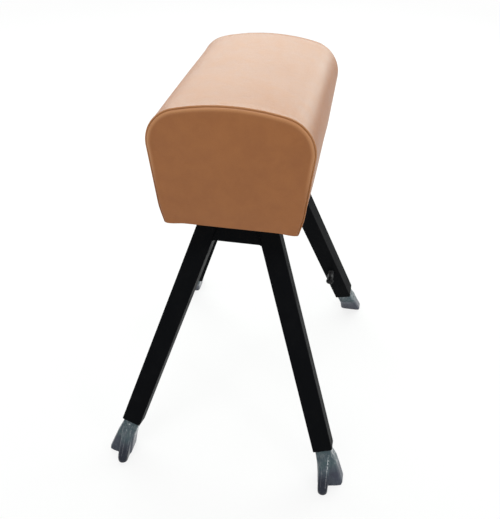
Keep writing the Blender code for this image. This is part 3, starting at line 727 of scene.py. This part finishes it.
def sculpt_cushion(cushion, side):
    """Slight hollows and gathers, strongest at the shoulders and the bottom corners."""
    points = points_of(cushion)
    height = points[:, 2] - BODY_BOTTOM
    depth = side * points[:, 1]
    face = smooth(depth, 0.2565, 0.2575)
    soft = ripple(points, 11 + side, 30.0) * CUSHION_WAVES
    rim = np.exp(-((depth - 0.2568) / 0.0015) ** 2)
    gather = ripple(points * (1.0, 0.2, 1.0), 21 + side, 260.0) * CUSHION_GATHERS
    moved = points.copy()
    moved[:, 1] += side * (soft * face)
    centre = np.array((0.0, 0.0, BODY_BOTTOM + 0.14))
    outward = points - centre
    outward[:, 1] = 0
    outward /= np.maximum(np.linalg.norm(outward, axis=1, keepdims=True), 1e-6)
    moved += outward * (gather * rim * smooth(height, 0.0, 0.01))[:, None]
    set_points(cushion, moved)
    # Painted shade on the back of the cushion, down in the seam groove
    mark(cushion, "seam", 1 - smooth(depth, 0.2546, 0.2556))
    inset = nearest_inset(points[:, 0], height)
    # Painted highlight on the cushion's rolled rim, fading towards the bottom
    turned = smooth(depth, 0.2554, 0.2564) * (1 - smooth(inset, 0.0050, 0.0135))
    mark(cushion, "rim", turned * smooth(height, *RIM_HIGHLIGHT_FADE))


# Pieces on the leg frames

def frame_matrix(end):
    """The plane of one A-frame: Y out of its outer face, Z up the plane."""
    outward = Vector((0, end * math.cos(FRAME_TILT), math.sin(FRAME_TILT)))
    upward = Vector((0, -end * math.sin(FRAME_TILT), math.cos(FRAME_TILT)))
    turn = Matrix((outward.cross(upward), outward, upward)).transposed().to_4x4()
    return Matrix.Translation((0, end * FRAME_SPREAD, BODY_BOTTOM)) @ turn


def weld_bead(name, runs):
    """Overlapping weld ripples along each run, from its start to its end, as one piece."""
    curve = bpy.data.curves.new(name, "CURVE")
    curve.dimensions = "3D"
    curve.bevel_depth = WELD_RADIUS
    curve.bevel_resolution = 2
    curve.use_fill_caps = True
    rng = np.random.default_rng(len(name))
    for start, finish in runs:
        ripples = max(3, int((finish - start).length / (WELD_RADIUS * 0.9)))
        line = curve.splines.new("POLY")
        line.points.add(ripples * 4)
        for i in range(ripples * 4 + 1):
            t = i / (ripples * 4)
            wander = Vector(rng.normal(size=3)) * WELD_RADIUS * 0.06
            line.points[i].co = (*(start.lerp(finish, t) + wander), 1.0)
            fat = 0.86 + 0.22 * abs(math.sin(math.pi * t * ripples))
            line.points[i].radius = fat * (0.6 if t in (0.0, 1.0) else 1.0)
    bead = add_object(name, curve)
    make_active(bead)
    bpy.ops.object.convert(target="MESH")
    facing_out(bead)
    smooth_faces(bead)
    dress(bead, POWDER, "frame")


def make_welds(label, end):
    """Weld beads all round both ends of a crossbar, where it meets the legs."""
    place = frame_matrix(end)
    reach = TUBE / 2 / math.cos(LEG_SPLAY)

    def inner_x(drop):
        return LEG_SPREAD + drop * math.tan(LEG_SPLAY) - reach

    top = CROSSBAR_DROP - CROSSBAR_DEPTH
    inner, outer = -TUBE / 2, TUBE / 2
    runs = []
    for sign in (-1, 1):
        low = (sign * inner_x(CROSSBAR_DROP), -CROSSBAR_DROP)
        high = (sign * inner_x(top), -top)
        for y in (inner, outer):
            runs.append(((low[0], y, low[1]), (high[0], y, high[1])))
        for x, z in (low, high):
            runs.append(((x, inner, z), (x, outer, z)))
    weld_bead("crossbar_welds_" + label,
              [[place @ Vector(point) for point in run] for run in runs])


def make_staples():
    """Upholstery staples that hold the hems to the base board, seen from below."""
    rng = np.random.default_rng(8)
    bpy.ops.object.select_all(action="DESELECT")
    bpy.ops.mesh.primitive_cube_add(size=1.0)
    first = bpy.context.object
    first.scale = STAPLE_SIZE
    bpy.ops.object.transform_apply(location=False, rotation=False, scale=True)
    bpy.ops.object.mode_set(mode="EDIT")
    bpy.ops.mesh.select_all(action="SELECT")
    bpy.ops.mesh.bevel(offset=STAPLE_BEVEL, segments=1)
    bpy.ops.object.mode_set(mode="OBJECT")
    hem = outline(0.0)[0, 0] - HEM_WIDTH * 0.62
    row = []
    for side in (-1, 1):
        for i in range(STAPLES):
            staple = first.copy()
            staple.data = first.data.copy()
            bpy.context.scene.collection.objects.link(staple)
            y = STAPLE_REACH * (2 * i / (STAPLES - 1) - 1) + rng.normal() * 0.0012
            x = side * (hem + rng.normal() * 0.0007)
            staple.location = (x, y, BODY_BOTTOM - STAPLE_SINK)
            staple.rotation_euler = (0, 0, rng.normal() * 0.07)
            row.append(staple)
    bpy.data.objects.remove(first)
    bpy.ops.object.select_all(action="DESELECT")
    for staple in row:
        staple.select_set(True)
    bpy.context.view_layer.objects.active = row[0]
    bpy.ops.object.join()
    bpy.ops.object.transform_apply(location=True, rotation=True, scale=True)
    row[0].name = "hem_staples"
    dress(row[0], STEEL, "frame")


def copy_of(node_name, name):
    """A piece of the scene's own that starts with the shape of one of the frame's nodes."""
    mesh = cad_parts[node_name].data.copy()
    mesh.materials.clear()
    piece = add_object(name, mesh)
    facing_out(piece)
    return piece


def make_foot(label):
    """The moulded foot: the frame's foot with every corner flowing into the next."""
    foot = copy_of("foot_" + label, "moulded_foot_" + label)
    apply_modifier(foot, "REMESH", mode="VOXEL", voxel_size=FOOT_VOXEL)
    apply_modifier(foot, "SMOOTH", factor=0.5, iterations=5)
    apply_modifier(foot, "DECIMATE", ratio=0.6)
    smooth_faces(foot)
    dress(foot, FOOT_GREY, "leg_" + label)
    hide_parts("foot_" + label)


def make_spring(label, end):
    """The coil in a lock's barrel; in the real lock it shortens against the barrel's cap as the
    pin is pulled.
    """
    spring = copy_of("lock_spring_" + label, "coil_spring_" + label)
    smooth_faces(spring, 50)
    dress(spring, STEEL, "frame")
    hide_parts("lock_spring_" + label)
    pull = np.array((0.0, -end * math.cos(FRAME_TILT), -math.sin(FRAME_TILT)))
    points = points_of(spring)
    along = points @ pull
    length = along.max() - along.min() + GAP
    "lock_pull_" + label
    (length - LOCK_TRAVEL - GAP / 2) / length
    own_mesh(spring)


# The finishes, and what wears them

LEATHER_FINISH = natural_leather()
POWDER = black_powder_coat()
FOOT_GREY = grey_foot_plastic()
STEEL = turned_steel()
PLYWOOD = birch_plywood()
BARREL_STEEL = blackened_steel()
KNOB_BLACK = black_moulded_plastic("black knob plastic", (0.003, 0.003, 0.0035))
NYLON = black_moulded_plastic("black nylon", (0.016, 0.016, 0.017))


def finish_nodes():
    """Give every node of the frame that stays in sight its finish."""
    looks = {"base_board": PLYWOOD, "core_": PLYWOOD, "mounting_plate_": POWDER,
             "crossbar_": POWDER, "leg_tube_": POWDER, "bolt_": STEEL,
             "guide_sleeve_": NYLON, "tube_glide_": NYLON, "lock_barrel_": BARREL_STEEL,
             "lock_pin_": STEEL, "lock_knob_": KNOB_BLACK}
    for name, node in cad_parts.items():
        for start, finish in looks.items():
            if name.startswith(start):
                put_on(node, finish)
    for label, end, side in LEGS:
        turn = (end * FRAME_TILT, side * LEG_SPLAY, 0.0)
        zinc = zinc_plating("zinc plating " + label.replace("_", " "), turn)
        put_on(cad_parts["inner_tube_" + label], zinc)


def build():
    """Every piece of the buck, on its body of the frame."""
    cover = make_cover()
    smooth_faces(cover, 55)
    dress(cover, LEATHER_FINISH, "frame")
    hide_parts("leather_wrap", "foam_padding")
    for name, side in (("front", -1), ("rear", 1)):
        cushion = make_end_cushion("end_cushion_" + name, side)
        smooth_faces(cushion, 55)
        dress(cushion, LEATHER_FINISH, "frame")
        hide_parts("end_panel_" + name, "end_pad_" + name)
        make_welds(name, side)
    make_staples()
    finish_nodes()
    for label, end, _ in LEGS:
        make_foot(label)
        make_spring(label, end)


# Studio

def shader_node(tree, kind, inputs, **settings):
    """A node of a tree, each input given as a number, a colour or another node's output."""
    made = tree.nodes.new(kind)
    for name, value in settings.items():
        setattr(made, name, value)
    for name, value in inputs.items():
        if isinstance(value, bpy.types.NodeSocket):
            tree.links.new(value, made.inputs[name])
        else:
            made.inputs[name].default_value = value
    return made.outputs


def white_to_camera(tree, plain, white, share):
    """Plain for the light that bounces, white by its share for what the camera sees."""
    path = shader_node(tree, "ShaderNodeLightPath", {})
    seen = shader_node(tree, "ShaderNodeMath", {0: path["Is Camera Ray"],
                                                1: path["Is Glossy Ray"]}, operation="MAXIMUM")
    seen = shader_node(tree, "ShaderNodeMath", {0: seen[0], 1: path["Is Transmission Ray"]},
                       operation="MAXIMUM")
    part = shader_node(tree, "ShaderNodeMath", {0: seen[0], 1: share}, operation="MULTIPLY")
    return shader_node(tree, "ShaderNodeMixShader", {0: part[0], 1: plain, 2: white})[0]


def make_floor():
    """A pale floor that keeps the shadow, and turns to plain white far from the buck."""
    bpy.ops.mesh.primitive_plane_add(size=FLOOR_SIZE, location=(0, 0, -FLOOR_DROP))
    floor = bpy.context.object
    floor.name = "studio_floor"
    made = bpy.data.materials.new("pale floor")
    made.use_nodes = True
    tree = made.node_tree
    plain = tree.nodes["Principled BSDF"]
    plain.inputs["Base Color"].default_value = (FLOOR_GREY, FLOOR_GREY, FLOOR_GREY, 1)
    plain.inputs["Roughness"].default_value = 0.9
    plain.inputs["Specular IOR Level"].default_value = 0.1
    place = shader_node(tree, "ShaderNodeTexCoord", {})["Object"]
    away = shader_node(tree, "ShaderNodeVectorMath", {0: place}, operation="LENGTH")["Value"]
    share = shader_node(tree, "ShaderNodeMapRange",
                        {"Value": away, "From Min": WHITE_FROM, "From Max": WHITE_TO,
                         "To Min": WHITE_SHARE, "To Max": 1.0},
                        interpolation_type="SMOOTHSTEP")["Result"]
    white = shader_node(tree, "ShaderNodeEmission", {"Color": (1, 1, 1, 1), "Strength": 1.0})
    mix = white_to_camera(tree, plain.outputs[0], white[0], share)
    tree.links.new(mix, tree.nodes["Material Output"].inputs["Surface"])
    floor.data.materials.append(made)


def make_world():
    world = bpy.data.worlds.new("studio")
    bpy.context.scene.world = world
    world.use_nodes = True
    tree = world.node_tree
    plain = tree.nodes["Background"]
    plain.inputs["Color"].default_value = (1.0, 1.0, 1.0, 1)
    plain.inputs["Strength"].default_value = WORLD_LIGHT
    white = shader_node(tree, "ShaderNodeBackground", {"Color": (1, 1, 1, 1), "Strength": 1.0})
    mix = white_to_camera(tree, plain.outputs[0], white[0], 1.0)
    tree.links.new(mix, tree.nodes["World Output"].inputs["Surface"])


def softbox(name, place, aim, width, height, radiance, colour):
    """A rectangular lamp; radiance is how bright its face is."""
    lamp = bpy.data.lights.new(name, "AREA")
    lamp.color = colour
    lamp.shape = "RECTANGLE"
    lamp.size = width
    lamp.size_y = height
    lamp.energy = radiance * math.pi * width * height
    made = add_object(name, lamp)
    made.location = place
    made.rotation_euler = (Vector(aim) - Vector(place)).to_track_quat("-Z", "Y").to_euler()


def make_camera():
    """The camera of the photograph, found from the buck's outlines."""
    yaw, pitch, roll = CAMERA_YAW, CAMERA_PITCH, CAMERA_ROLL
    ahead = Vector((-math.sin(yaw) * math.cos(pitch), math.cos(yaw) * math.cos(pitch),
                    -math.sin(pitch)))
    level = Vector((math.cos(yaw), math.sin(yaw), 0))
    above = level.cross(ahead)
    right = level * math.cos(roll) + above * math.sin(roll)
    up = above * math.cos(roll) - level * math.sin(roll)
    data = bpy.data.cameras.new("camera")
    data.sensor_width = SENSOR_WIDTH
    data.lens = CAMERA_LENS
    camera = add_object("camera", data)
    turn = Matrix((right, up, -ahead)).transposed().to_4x4()
    camera.matrix_world = Matrix.Translation(CAMERA_PLACE) @ turn
    bpy.context.scene.camera = camera


build()
make_floor()
make_world()
for lamp in LAMPS:
    softbox(*lamp)
make_camera()
bpy.context.scene.view_settings.view_transform = "Standard"
